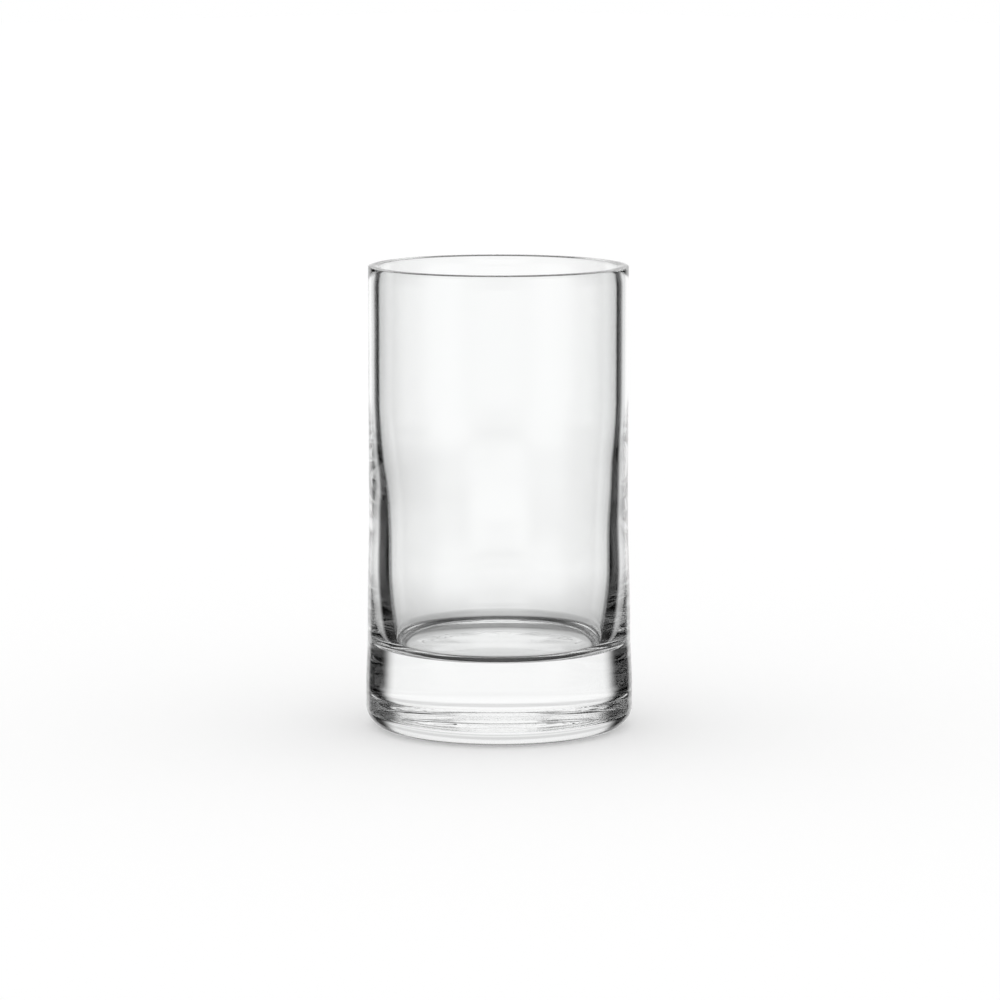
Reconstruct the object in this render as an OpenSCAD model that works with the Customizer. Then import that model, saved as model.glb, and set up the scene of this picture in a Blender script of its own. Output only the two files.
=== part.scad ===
// Juice glass: a straight-sided tumbler with a thick, solid base.
// It is one piece of clear glass, a solid of revolution about Z.
// It stands on Z = 0, and its axis is the Z axis. All sizes are millimetres.

/* [Overall] */
// Height, from the table to the top of the rim
height = 104; // [90:0.5:130]
// Outside diameter of the straight wall
body_d = 58.2; // [50:0.1:68]
// Outside diameter of the foot, where it is widest
foot_d = 60.1; // [54:0.1:70]

/* [Wall] */
// Wall thickness in the upper part and at the rim
upper_wall = 2.45; // [1.4:0.05:3.6]
// Wall thickness in the lower part
lower_wall = 4.1; // [2.6:0.1:5.5]
// Height above which the wall is thin
thin_from = 74; // [71:0.5:85]
// Height over which the wall goes from thin to thick
thicken_h = 34; // [4:0.5:37]
// How high the lip bulges over the edge of the rim
lip_h = 0.4; // [0.2:0.1:1.6]

/* [Bowl] */
// Solid glass under the outer edge of the bowl's floor
base_h = 17.9; // [10:0.1:24]
// How much lower the floor's middle is than its edge
floor_dish = 0.3; // [0.1:0.1:2]
// Radius of the rounded corner between wall and floor
corner_r = 3.4; // [1:0.1:10]
// Lean of the inner wall where it meets the corner, in degrees
lean = 12; // [4:1:30]
// Height at which the inner wall starts to lean inwards
lean_from = 36; // [27:0.5:39]

/* [Foot] */
// Radius of the rounded heel
heel_r = 4.8; // [2:0.1:7]
// Height at which the foot is full width
flare_low = 9; // [7.5:0.5:18]
// Height at which the flare eases off
knee_z = 22; // [19:0.5:40]
// Part of the flare that lies below that height
knee_part = 0.45; // [0.1:0.05:0.9]
// Height at which the flare of the foot meets the straight wall
flare_high = 50; // [30:1:68]
// Width of the flat ring that the glass stands on
ring_w = 4; // [2:0.5:8]
// Height of the hollow under the base at its middle
punt_h = 0.3; // [0.1:0.1:4]

/* [Hidden] */

// Straight steps along each rounded stretch of the section
arc_steps = 16;
// Sides of the revolved solid
turn_steps = 180;

body_r = body_d / 2;
foot_r = foot_d / 2;
knee_r = foot_r + (body_r - foot_r) * knee_part;
punt_r = foot_r - heel_r - ring_w;

lip_r = upper_wall / 2;
lip_z = height - lip_h;
upper_r = body_r - upper_wall;
lower_r = body_r - lower_wall;
thick_z = thin_from - thicken_h;

// The leaning stretch is an arc from upright down to the corner
corner_top = base_h + corner_r * (1 - sin(lean));
lean_r = (lean_from - corner_top) / sin(lean);
floor_r = lower_r - lean_r * (1 - cos(lean)) - corner_r * cos(lean);

// Each stretch below leaves out its last point, because the next one
// begins there.

// An elliptical arc with half-axes a and b about [x, z], from angle p to q.
function arc(x, z, a, b, p, q) =
    [for (i = [0:arc_steps - 1]) let (t = p + (q - p) * i / arc_steps)
        [x + a * cos(t), z + b * sin(t)]];

// Half a cosine wave from 0 to 1, flat at both ends.
function ease(t) = (1 - cos(180 * t)) / 2;

// A wall that moves sideways from [x0, z0] to [x1, z1], upright at both ends.
function sway(x0, z0, x1, z1) =
    [for (i = [0:arc_steps - 1]) let (t = i / arc_steps)
        [x0 + (x1 - x0) * ease(t), z0 + (z1 - z0) * t]];

// A floor that goes from [x0, z0] to [x1, z1], level at both ends.
function swell(x0, z0, x1, z1) =
    [for (i = [0:arc_steps - 1]) let (t = i / arc_steps)
        [x0 + (x1 - x0) * t, z0 + (z1 - z0) * ease(t)]];

// Half of the glass cut through its axis, run anticlockwise
// from the middle of the underside to the middle of the floor.
module section() {
    underside = concat(swell(0, punt_h, punt_r, 0), [[punt_r, 0]]);
    heel = concat(
        arc(foot_r - heel_r, heel_r, heel_r, heel_r, -90, 0), [[foot_r, heel_r]]);
    flare = concat(
        sway(foot_r, flare_low, knee_r, knee_z),
        sway(knee_r, knee_z, body_r, flare_high), [[body_r, flare_high]]);
    lip = concat(arc(body_r - lip_r, lip_z, lip_r, lip_h, 0, 180), [[upper_r, lip_z]]);
    thickening = concat(
        sway(upper_r, thin_from, lower_r, thick_z), [[lower_r, thick_z]]);
    corner = concat(
        arc(lower_r - lean_r, lean_from, lean_r, lean_r, 0, -lean),
        arc(floor_r, base_h + corner_r, corner_r, corner_r, -lean, -90));
    floor_middle = concat(
        swell(floor_r, base_h, 0, base_h - floor_dish), [[0, base_h - floor_dish]]);
    polygon(concat(underside, heel, flare, lip, thickening, corner, floor_middle));
}

// The whole glass
module tumbler() {
    color([0.90, 0.93, 0.93, 0.4])
        rotate_extrude($fn = turn_steps) section();
}

tumbler();
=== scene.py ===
"""A juice glass on a plain pale floor, in soft studio light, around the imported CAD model.

The glass is one piece, revolved about +Z. Sizes are millimetres and angles are degrees.
A compass angle is measured in the floor from +Y towards +X.
"""
import math

import bpy
import numpy as np
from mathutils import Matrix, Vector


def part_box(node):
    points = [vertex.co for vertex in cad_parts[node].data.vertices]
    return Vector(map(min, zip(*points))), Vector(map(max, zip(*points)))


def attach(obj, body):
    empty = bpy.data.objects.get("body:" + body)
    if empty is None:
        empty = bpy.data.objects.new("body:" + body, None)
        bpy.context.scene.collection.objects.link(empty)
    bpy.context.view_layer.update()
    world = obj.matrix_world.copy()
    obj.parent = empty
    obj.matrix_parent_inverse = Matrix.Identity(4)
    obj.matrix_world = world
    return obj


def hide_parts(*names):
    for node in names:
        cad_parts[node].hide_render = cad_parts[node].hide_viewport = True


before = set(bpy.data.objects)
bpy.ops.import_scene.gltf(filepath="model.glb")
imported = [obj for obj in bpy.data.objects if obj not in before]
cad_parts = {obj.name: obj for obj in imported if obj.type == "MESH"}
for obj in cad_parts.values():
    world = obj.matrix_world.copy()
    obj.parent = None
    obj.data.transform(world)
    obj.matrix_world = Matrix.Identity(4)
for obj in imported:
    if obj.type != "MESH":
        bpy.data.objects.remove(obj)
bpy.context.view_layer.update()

MM = 0.001

# ---- the glass: the sizes of the part's source, but for a lower lip and a smaller lean
FOOT_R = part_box("tumbler")[1][0] / MM
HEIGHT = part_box("tumbler")[1][2] / MM
BODY_R = 29.1
UPPER_WALL = 2.45
LOWER_WALL = 4.1
THIN_FROM = 74.0
THICKEN_H = 34.0
LIP_H = 0.3
BASE_H = 17.9
FLOOR_DISH = 0.3
CORNER_R = 3.4
LEAN = 8.0
LEAN_FROM = 36.0
HEEL_R = 4.8
FLARE_LOW = 9.0
KNEE_Z = 22.0
KNEE_PART = 0.45
FLARE_HIGH = 50.0
RING_W = 4.0
PUNT_H = 0.3

# ---- what one glass has of its own: the inner wall stands to the left of the outer one by
# ---- SWING_HIGH above the step and by SWING_LOW below it, and the rim to the left of the foot
LEFT = 45.0
SWING_HIGH = 0.12
SWING_LOW = -0.08
SWING_STEP = (50.0, 62.0)
SWING_FADE = 20.0
RIM_SHIFT = 0.16
SHIFT_H = 60.0

# ---- fineness of the mesh
AROUND = 380
ROUND_STEPS = 24
UNDER_STEPS = 22
FLOOR_POINTS = 17

# ---- camera, with its shift as a share of the picture's width
VIEW_FROM = 225.0
CAM_DISTANCE = 955.4
CAM_HEIGHT = 184.5
CAM_PITCH = 7.953
CAM_LENS = 154.6
SENSOR = 36.0
CAM_SHIFT_X = 0.0008
CLIP_NEAR = 10.0
CLIP_FAR = 100000.0

# ---- black cards on both sides of the glass, and under it a black disc as painted shade beneath the glass, which only the glass shows
BEHIND = 135.0
CARD_SIDE = 103.0
CARD_FRONT = 0.0
CARD_REAR = 129.0
CARD_FADE = 30.0
CARD_LOW = -110.0
CARD_HIGH = 240.0
# the black disc under the floor is painted shade beneath the glass
SHADE_CARD_Z = -40.0
SHADE_CARD_R = 60.0
SHADE_CARD_SIDES = 64

# ---- what the glass shows of the room: bright areas in a dark room, each as
# ---- (compass middle, half width, softness, lowest, softness, highest, softness, strength)
LIGHTS = (
    (0, 190, 1, -11, 1.5, -2.5, 1.5, 0.9),
    (0, 190, 1, 55, 6, 100, 1, 1.0),
    (0, 27, 22, -16, 3, 9, 3, 1.0),
    (270, 27, 22, -16, 3, 9, 3, 1.0),
    (315, 30, 10, -38, 3, -14, 3, 1.0),
    (315, 110, 15, 42, 4, 100, 1, 1.0),
    (315, 30, 10, 22, 4, 46, 4, 1.0),
)
BACKDROP = (135, 50, 6, -43, 5, 42, 6, 1.0)
# (height over the horizon, share of the backdrop's brightness)
BACKDROP_FADE = (
    (-40, 0.45), (-26, 0.55), (-18, 0.78), (-12, 1.0),
    (3, 1.0), (6, 0.75), (10, 0.75), (13, 1.0),
)
ROOM_GREY = 0.02

# ---- the glass's surface, with its grains per metre
GLASS_IOR = 1.52
GLASS_CLEAR = (0.99, 0.99, 0.99, 1)
GLASS_TINT = (0.975, 0.985, 0.982, 1)
TINT_GRAIN = 25.0
WAVE_GRAIN = 55.0
WAVE_DEPTH = 0.02
WEAR = 0.3
WEAR_GRAIN = 900.0
WEAR_FROM = 0.45
WEAR_FULL = 0.65
WEAR_LOW = 0.02
WEAR_HIGH = 0.12
WEAR_EDGE = 0.5

# ---- the floor
FLOOR_SIZE = 9000.0
FLOOR_Z = -0.05
FLOOR_PAINT = 0.7
FLOOR_GLOW = 0.305
SHADE_NEAR = 30.0
SHADE_FAR = 150.0
SHADE_DEPTH = 0.04

# ---- how often light may bounce: thick glass holds it for long
BOUNCES = 96
SHINE_BOUNCES = 64


# ---- node trees
class Val:
    """A number or a node's output, with arithmetic that adds Math nodes."""

    def __init__(self, tree, source):
        self.tree, self.source = tree, source

    def math(self, operation, *others):
        sockets = dict(enumerate((self,) + others))
        return node(self.tree, "ShaderNodeMath", {"operation": operation}, sockets)[0]

    def __add__(self, other): return self.math("ADD", other)
    def __sub__(self, other): return self.math("SUBTRACT", other)
    def __mul__(self, other): return self.math("MULTIPLY", other)
    def __truediv__(self, other): return self.math("DIVIDE", other)
    def __rsub__(self, other): return Val(self.tree, other).math("SUBTRACT", self)
    __radd__ = __add__
    __rmul__ = __mul__

    def max(self, other): return self.math("MAXIMUM", other)
    def abs(self): return self.math("ABSOLUTE")

    def smooth(self, low, high, to_low=0.0, to_high=1.0):
        """Goes from to_low to to_high on a smooth step as this value goes from low to high."""
        return node(self.tree, "ShaderNodeMapRange", {"interpolation_type": "SMOOTHSTEP"}, {
            "Value": self, "From Min": low, "From Max": high, "To Min": to_low, "To Max": to_high})[0]

    def line(self, points):
        """Straight lines through (input, output) points, level beyond the ends."""
        total = points[0][1]
        for (x0, y0), (x1, y1) in zip(points, points[1:]):
            if y1 != y0:
                total = total + node(self.tree, "ShaderNodeMapRange", {}, {
                    "Value": self, "From Min": x0, "From Max": x1, "To Min": 0.0, "To Max": y1 - y0})[0]
        return total


class Outputs:
    """A node's outputs, by number or by name, each as a value."""

    def __init__(self, tree, made):
        self.tree, self.made = tree, made

    def __getitem__(self, key):
        return Val(self.tree, self.made.outputs[key])


def node(tree, kind, settings=None, sockets=None):
    """Add a node, set its settings, then set or link its sockets. Returns its outputs as values."""
    made = tree.nodes.new(kind)
    for name, value in (settings or {}).items():
        setattr(made, name, value)
    for name, value in (sockets or {}).items():
        value = value.source if isinstance(value, Val) else value
        if isinstance(value, bpy.types.NodeSocket):
            tree.links.new(value, made.inputs[name])
        else:
            made.inputs[name].default_value = value
    return Outputs(tree, made)


def new_tree(block):
    """Switch a material's or world's nodes on and take the standard ones out."""
    block.use_nodes = True
    block.node_tree.nodes.clear()
    return block.node_tree


def new_material(name):
    """A material without nodes, and its node tree."""
    mat = bpy.data.materials.new(name)
    return mat, new_tree(mat)


def noise(tree, spot, grain, detail):
    """Smooth noise at a spot, about 0.5."""
    return node(tree, "ShaderNodeTexNoise", {}, {"Vector": spot, "Scale": grain, "Detail": detail})["Fac"]


def glass_rays(tree):
    """1 for a ray that has met the glass, and 0 for every other one."""
    path = node(tree, "ShaderNodeLightPath")
    return path["Is Glossy Ray"].max(path["Is Transmission Ray"])


# ---- shapes
def ease(t):
    """Half a cosine wave from 0 to 1, flat at both ends, and level outside of 0 and 1."""
    return (1 - np.cos(np.pi * np.clip(t, 0, 1))) / 2


def shares(steps):
    """Equal shares of a stretch from 0 up to 1, without the 1."""
    return np.linspace(0, 1, steps, endpoint=False)


def arc(x, z, a, b, start, end, steps):
    """An elliptical arc about (x, z) with half-axes a and b, from start to end without its last point."""
    t = np.radians(np.linspace(start, end, steps, endpoint=False))
    return x + a * np.cos(t), z + b * np.sin(t)


def run(x0, z0, x1, z1, steps):
    """Straight from one point towards the next, without the last."""
    t = shares(steps)
    return x0 + (x1 - x0) * t, z0 + (z1 - z0) * t


def sway(x0, z0, x1, z1, steps):
    """A wall that moves sideways on half a cosine wave, upright at both ends, without its last point."""
    t = shares(steps)
    return x0 + (x1 - x0) * ease(t), z0 + (z1 - z0) * t


def section():
    """The glass cut through its axis, from the underside's middle to the floor's middle.

    Returns radius, height and the share of the inner wall's swing that each point takes.
    """
    knee_r = FOOT_R + (BODY_R - FOOT_R) * KNEE_PART
    lip_r = UPPER_WALL / 2
    lip_z = HEIGHT - LIP_H
    punt_r = FOOT_R - HEEL_R - RING_W
    upper_r = BODY_R - UPPER_WALL
    lower_r = BODY_R - LOWER_WALL
    thick_z = THIN_FROM - THICKEN_H
    lean = math.radians(LEAN)
    corner_top = BASE_H + CORNER_R * (1 - math.sin(lean))
    lean_r = (LEAN_FROM - corner_top) / math.sin(lean)
    floor_r = lower_r - lean_r * (1 - math.cos(lean)) - CORNER_R * math.cos(lean)
    under = shares(UNDER_STEPS)
    over = np.linspace(0, 1, FLOOR_POINTS)
    outside = [
        (punt_r * under, PUNT_H * (1 - ease(under))),
        run(punt_r, 0, punt_r + RING_W, 0, steps=4),
        arc(FOOT_R - HEEL_R, HEEL_R, HEEL_R, HEEL_R, -90, 0, ROUND_STEPS),
        run(FOOT_R, HEEL_R, FOOT_R, FLARE_LOW, steps=3),
        sway(FOOT_R, FLARE_LOW, knee_r, KNEE_Z, steps=16),
        sway(knee_r, KNEE_Z, BODY_R, FLARE_HIGH, steps=20),
        run(BODY_R, FLARE_HIGH, BODY_R, lip_z, steps=16),
    ]
    lip = arc(BODY_R - lip_r, lip_z, lip_r, LIP_H, 0, 180, ROUND_STEPS)
    inside = [
        run(upper_r, lip_z, upper_r, THIN_FROM, steps=30),
        sway(upper_r, THIN_FROM, lower_r, thick_z, steps=40),
        run(lower_r, thick_z, lower_r, LEAN_FROM, steps=4),
        arc(lower_r - lean_r, LEAN_FROM, lean_r, lean_r, 0, -LEAN, steps=16),
        arc(floor_r, BASE_H + CORNER_R, CORNER_R, CORNER_R, -LEAN, -90, ROUND_STEPS),
        (floor_r * (1 - over), BASE_H - FLOOR_DISH * ease(over)),
    ]
    radius, height = np.concatenate(outside + [lip] + inside, axis=1)
    swung = np.zeros(len(radius))
    lip_start = sum(len(stretch[0]) for stretch in outside)
    swung[lip_start:lip_start + ROUND_STEPS] = ease(shares(ROUND_STEPS))
    swung[lip_start + ROUND_STEPS:] = 1
    return radius, height, swung


def link(name, points, faces, smooth=False):
    """Put points in millimetres and faces into a new object at the origin."""
    mesh = bpy.data.meshes.new(name)
    mesh.from_pydata((np.asarray(points) * MM).tolist(), [], faces)
    if smooth:
        mesh.polygons.foreach_set("use_smooth", np.ones(len(mesh.polygons), bool))
    mesh.update()
    piece = bpy.data.objects.new(name, mesh)
    bpy.context.scene.collection.objects.link(piece)
    return piece


def revolve(name, radius, height, swung, around):
    """Grid of section point i and turn j: x = r cos a, y = r sin a, z = h, closed at both poles.

    The inner wall's r gets swing(h) cos(a - left), and the whole glass leans to the left by up to
    RIM_SHIFT at the rim.
    """
    left = np.radians(LEFT)
    step = ease((height - SWING_STEP[0]) / (SWING_STEP[1] - SWING_STEP[0]))
    swing = (SWING_LOW + (SWING_HIGH - SWING_LOW) * step) * swung * ease((height - BASE_H) / SWING_FADE)
    turn = np.arange(around) * 2 * np.pi / around
    z = np.repeat(height[1:-1, None], around, axis=1)
    r = radius[1:-1, None] + swing[1:-1, None] * np.cos(turn - left)
    shift = RIM_SHIFT * ease(z / SHIFT_H)
    x = r * np.cos(turn) + shift * np.cos(left)
    y = r * np.sin(turn) + shift * np.sin(left)
    rings = np.stack([x, y, z], -1)
    points = np.concatenate([[[0, 0, height[0]]], rings.reshape(-1, 3), [[0, 0, height[-1]]]])
    rows = len(radius) - 2
    j = np.arange(around)
    k = (j + 1) % around
    start = 1 + np.arange(rows - 1)[:, None] * around
    quads = np.stack([start + j, start + k, start + k + around, start + j + around], -1).reshape(-1, 4)
    last = 1 + (rows - 1) * around
    low = np.stack([0 * j, 1 + k, 1 + j], -1)
    high = np.stack([last + j, last + k, 0 * j + last + around], -1)
    return link(name, points, low.tolist() + quads.tolist() + high.tolist(), smooth=True)


# ---- materials
def clear_glass():
    """Clear glass, faintly wavy and hardly tinted, with the fine wear of its standing ring."""
    mat, tree = new_material("clear_glass")
    spot = node(tree, "ShaderNodeTexCoord")["Object"]
    xyz = node(tree, "ShaderNodeSeparateXYZ", {}, {0: spot})
    flat = node(tree, "ShaderNodeCombineXYZ", {}, {"X": xyz["X"], "Y": xyz["Y"]})[0]
    out = node(tree, "ShaderNodeVectorMath", {"operation": "LENGTH"}, {0: flat})["Value"] / MM
    height = xyz["Z"] / MM
    ring_out = FOOT_R - HEEL_R
    ring_in = ring_out - RING_W
    ring = out.smooth(ring_in - WEAR_EDGE, ring_in + WEAR_EDGE) \
        * out.smooth(ring_out - WEAR_EDGE, ring_out + 2 * WEAR_EDGE, 1.0, 0.0) \
        * height.smooth(WEAR_LOW, WEAR_HIGH, 1.0, 0.0)
    wear = ring * noise(tree, spot, WEAR_GRAIN, 4.0).smooth(WEAR_FROM, WEAR_FULL, 0.0, WEAR)
    colour = node(tree, "ShaderNodeMix", {"data_type": "RGBA"}, {
        "Factor": noise(tree, spot, TINT_GRAIN, 1.0), "A": GLASS_CLEAR, "B": GLASS_TINT})["Result"]
    waves = node(tree, "ShaderNodeBump", {}, {
        "Strength": 1.0, "Distance": WAVE_DEPTH * MM, "Height": noise(tree, spot, WAVE_GRAIN, 1.0)})
    shader = node(tree, "ShaderNodeBsdfPrincipled", {}, {
        "Base Color": colour, "Roughness": wear, "IOR": GLASS_IOR, "Transmission Weight": 1.0,
        "Normal": waves["Normal"]})
    node(tree, "ShaderNodeOutputMaterial", {}, {"Surface": shader["BSDF"]})
    return mat


def black_card(away):
    """Black that fades out at both ends of a card that runs along the direction away, for the side cards
    and for the disc of painted shade under the glass.
    """
    mat, tree = new_material("black_card")
    spot = node(tree, "ShaderNodeTexCoord")["Object"]
    along = node(tree, "ShaderNodeVectorMath", {"operation": "DOT_PRODUCT"}, {
        0: spot, 1: (*away, 0)})["Value"] / MM
    gone = along.smooth(CARD_REAR - CARD_FADE, CARD_REAR + CARD_FADE) \
        + along.smooth(CARD_FRONT - CARD_FADE, CARD_FRONT + CARD_FADE, 1.0, 0.0)
    black = node(tree, "ShaderNodeEmission", {}, {"Color": (0, 0, 0, 1), "Strength": 0.0})
    clear = node(tree, "ShaderNodeBsdfTransparent")
    both = node(tree, "ShaderNodeMixShader", {}, {0: gone, 1: black["Emission"], 2: clear["BSDF"]})
    node(tree, "ShaderNodeOutputMaterial", {}, {"Surface": both[0]})
    return mat


def pale_floor():
    """White paint that the camera and the soft light see.

    Rays that have met the glass pass through it, with a little painted shade near the foot.
    """
    mat, tree = new_material("pale_floor")
    seen = node(tree, "ShaderNodeLightPath")["Is Camera Ray"]
    paint = node(tree, "ShaderNodeBsdfDiffuse", {}, {"Color": (FLOOR_PAINT,) * 3 + (1,)})
    glow = node(tree, "ShaderNodeEmission", {}, {"Strength": seen * FLOOR_GLOW})
    lit = node(tree, "ShaderNodeAddShader", {}, {0: paint["BSDF"], 1: glow["Emission"]})
    spot = node(tree, "ShaderNodeTexCoord")["Object"]
    far = node(tree, "ShaderNodeVectorMath", {"operation": "LENGTH"}, {0: spot})["Value"] / MM
    clear = node(tree, "ShaderNodeBsdfTransparent")
    # painted shade near the foot, seen only by rays that have met the glass
    dark = node(tree, "ShaderNodeEmission", {}, {"Strength": 0.0})
    under = node(tree, "ShaderNodeMixShader", {}, {
        0: far.smooth(SHADE_NEAR, SHADE_FAR, SHADE_DEPTH, 0.0), 1: clear["BSDF"], 2: dark["Emission"]})
    both = node(tree, "ShaderNodeMixShader", {}, {0: glass_rays(tree), 1: lit[0], 2: under[0]})
    node(tree, "ShaderNodeOutputMaterial", {}, {"Surface": both[0]})
    return mat


def bright_area(compass, up, middle, half, side_soft, low, low_soft, high, high_soft, strength):
    """The brightness of one soft-edged area of the room, seen in a direction."""
    off = ((compass - (middle - 180)).math("FLOORED_MODULO", 360.0) - 180).abs()
    return off.smooth(half - side_soft, half + side_soft, strength, 0.0) \
        * up.smooth(low - low_soft, low + low_soft) \
        * up.smooth(high - high_soft, high + high_soft, 1.0, 0.0)


def studio_world():
    """White all round. Rays that have met the glass see the bright areas of a dark room instead."""
    world = bpy.data.worlds.new("studio")
    bpy.context.scene.world = world
    tree = new_tree(world)
    ray = node(tree, "ShaderNodeSeparateXYZ", {}, {0: node(tree, "ShaderNodeTexCoord")["Generated"]})
    up = ray["Z"].math("ARCSINE") * math.degrees(1)
    compass = ray["X"].math("ARCTAN2", ray["Y"]) * math.degrees(1)
    room = bright_area(compass, up, *BACKDROP) * up.line(BACKDROP_FADE)
    for light in LIGHTS:
        room = room.max(bright_area(compass, up, *light))
    inside = glass_rays(tree)
    strength = inside * room.max(ROOM_GREY) + (1 - inside)
    back = node(tree, "ShaderNodeBackground", {}, {"Color": (1, 1, 1, 1), "Strength": strength})
    node(tree, "ShaderNodeOutputWorld", {}, {"Surface": back["Background"]})


# ---- the stage
def set_floor():
    """A wide level square, a hair under the glass."""
    half = FLOOR_SIZE / 2
    corners = [(-half, -half), (half, -half), (half, half), (-half, half)]
    floor = link("floor", [(*corner, FLOOR_Z) for corner in corners], [(0, 1, 2, 3)])
    floor.data.materials.append(pale_floor())


def set_card(name, points, black):
    """A card with one face through the points, which only rays that have met the glass see."""
    card = link(name, points, [tuple(range(len(points)))])
    card.data.materials.append(black)
    card.visible_camera = False
    card.visible_diffuse = False
    card.visible_shadow = False


def set_cards():
    """One upright card on each side of the glass, and a level black disc under it as painted shade
    beneath the glass, clear in its front half.
    """
    behind = math.radians(BEHIND)
    away = np.array([math.sin(behind), math.cos(behind)])
    right = np.array([away[1], -away[0]])
    black = black_card(away)
    for name, side in (("card_left", -1), ("card_right", 1)):
        front = side * CARD_SIDE * right + (CARD_FRONT - CARD_FADE) * away
        rear = side * CARD_SIDE * right + (CARD_REAR + CARD_FADE) * away
        corners = [(*front, CARD_LOW), (*rear, CARD_LOW), (*rear, CARD_HIGH), (*front, CARD_HIGH)]
        set_card(name, corners, black)
    # the level disc is painted shade: black where rays from the glass meet the shadowed floor under the
    # foot
    turn = shares(SHADE_CARD_SIDES) * 2 * np.pi
    disc = np.stack([SHADE_CARD_R * np.cos(turn), SHADE_CARD_R * np.sin(turn), 0 * turn + SHADE_CARD_Z], -1)
    set_card("shade_card_under", disc, black)


def set_camera():
    """The photo's camera, which stands higher than the glass and is tilted down to it."""
    lens = bpy.data.cameras.new("camera")
    lens.sensor_width = SENSOR
    lens.lens = CAM_LENS
    lens.shift_x = CAM_SHIFT_X
    lens.clip_start = CLIP_NEAR * MM
    lens.clip_end = CLIP_FAR * MM
    camera = bpy.data.objects.new("camera", lens)
    bpy.context.scene.collection.objects.link(camera)
    turn = math.radians(VIEW_FROM)
    camera.location = (
        CAM_DISTANCE * MM * math.sin(turn), -CAM_DISTANCE * MM * math.cos(turn), CAM_HEIGHT * MM)
    camera.rotation_euler = (math.radians(90 - CAM_PITCH), 0, turn)
    bpy.context.scene.camera = camera


# ---- the piece
glass = revolve("juice_glass", *section(), AROUND)
glass.data.materials.append(clear_glass())
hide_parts("tumbler")
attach(glass, "root")

studio_world()
set_floor()
set_cards()
set_camera()

bpy.context.scene.view_settings.view_transform = "Standard"
bpy.context.scene.cycles.max_bounces = BOUNCES
bpy.context.scene.cycles.transmission_bounces = BOUNCES
bpy.context.scene.cycles.glossy_bounces = SHINE_BOUNCES
bpy.context.scene.cycles.transparent_max_bounces = SHINE_BOUNCES
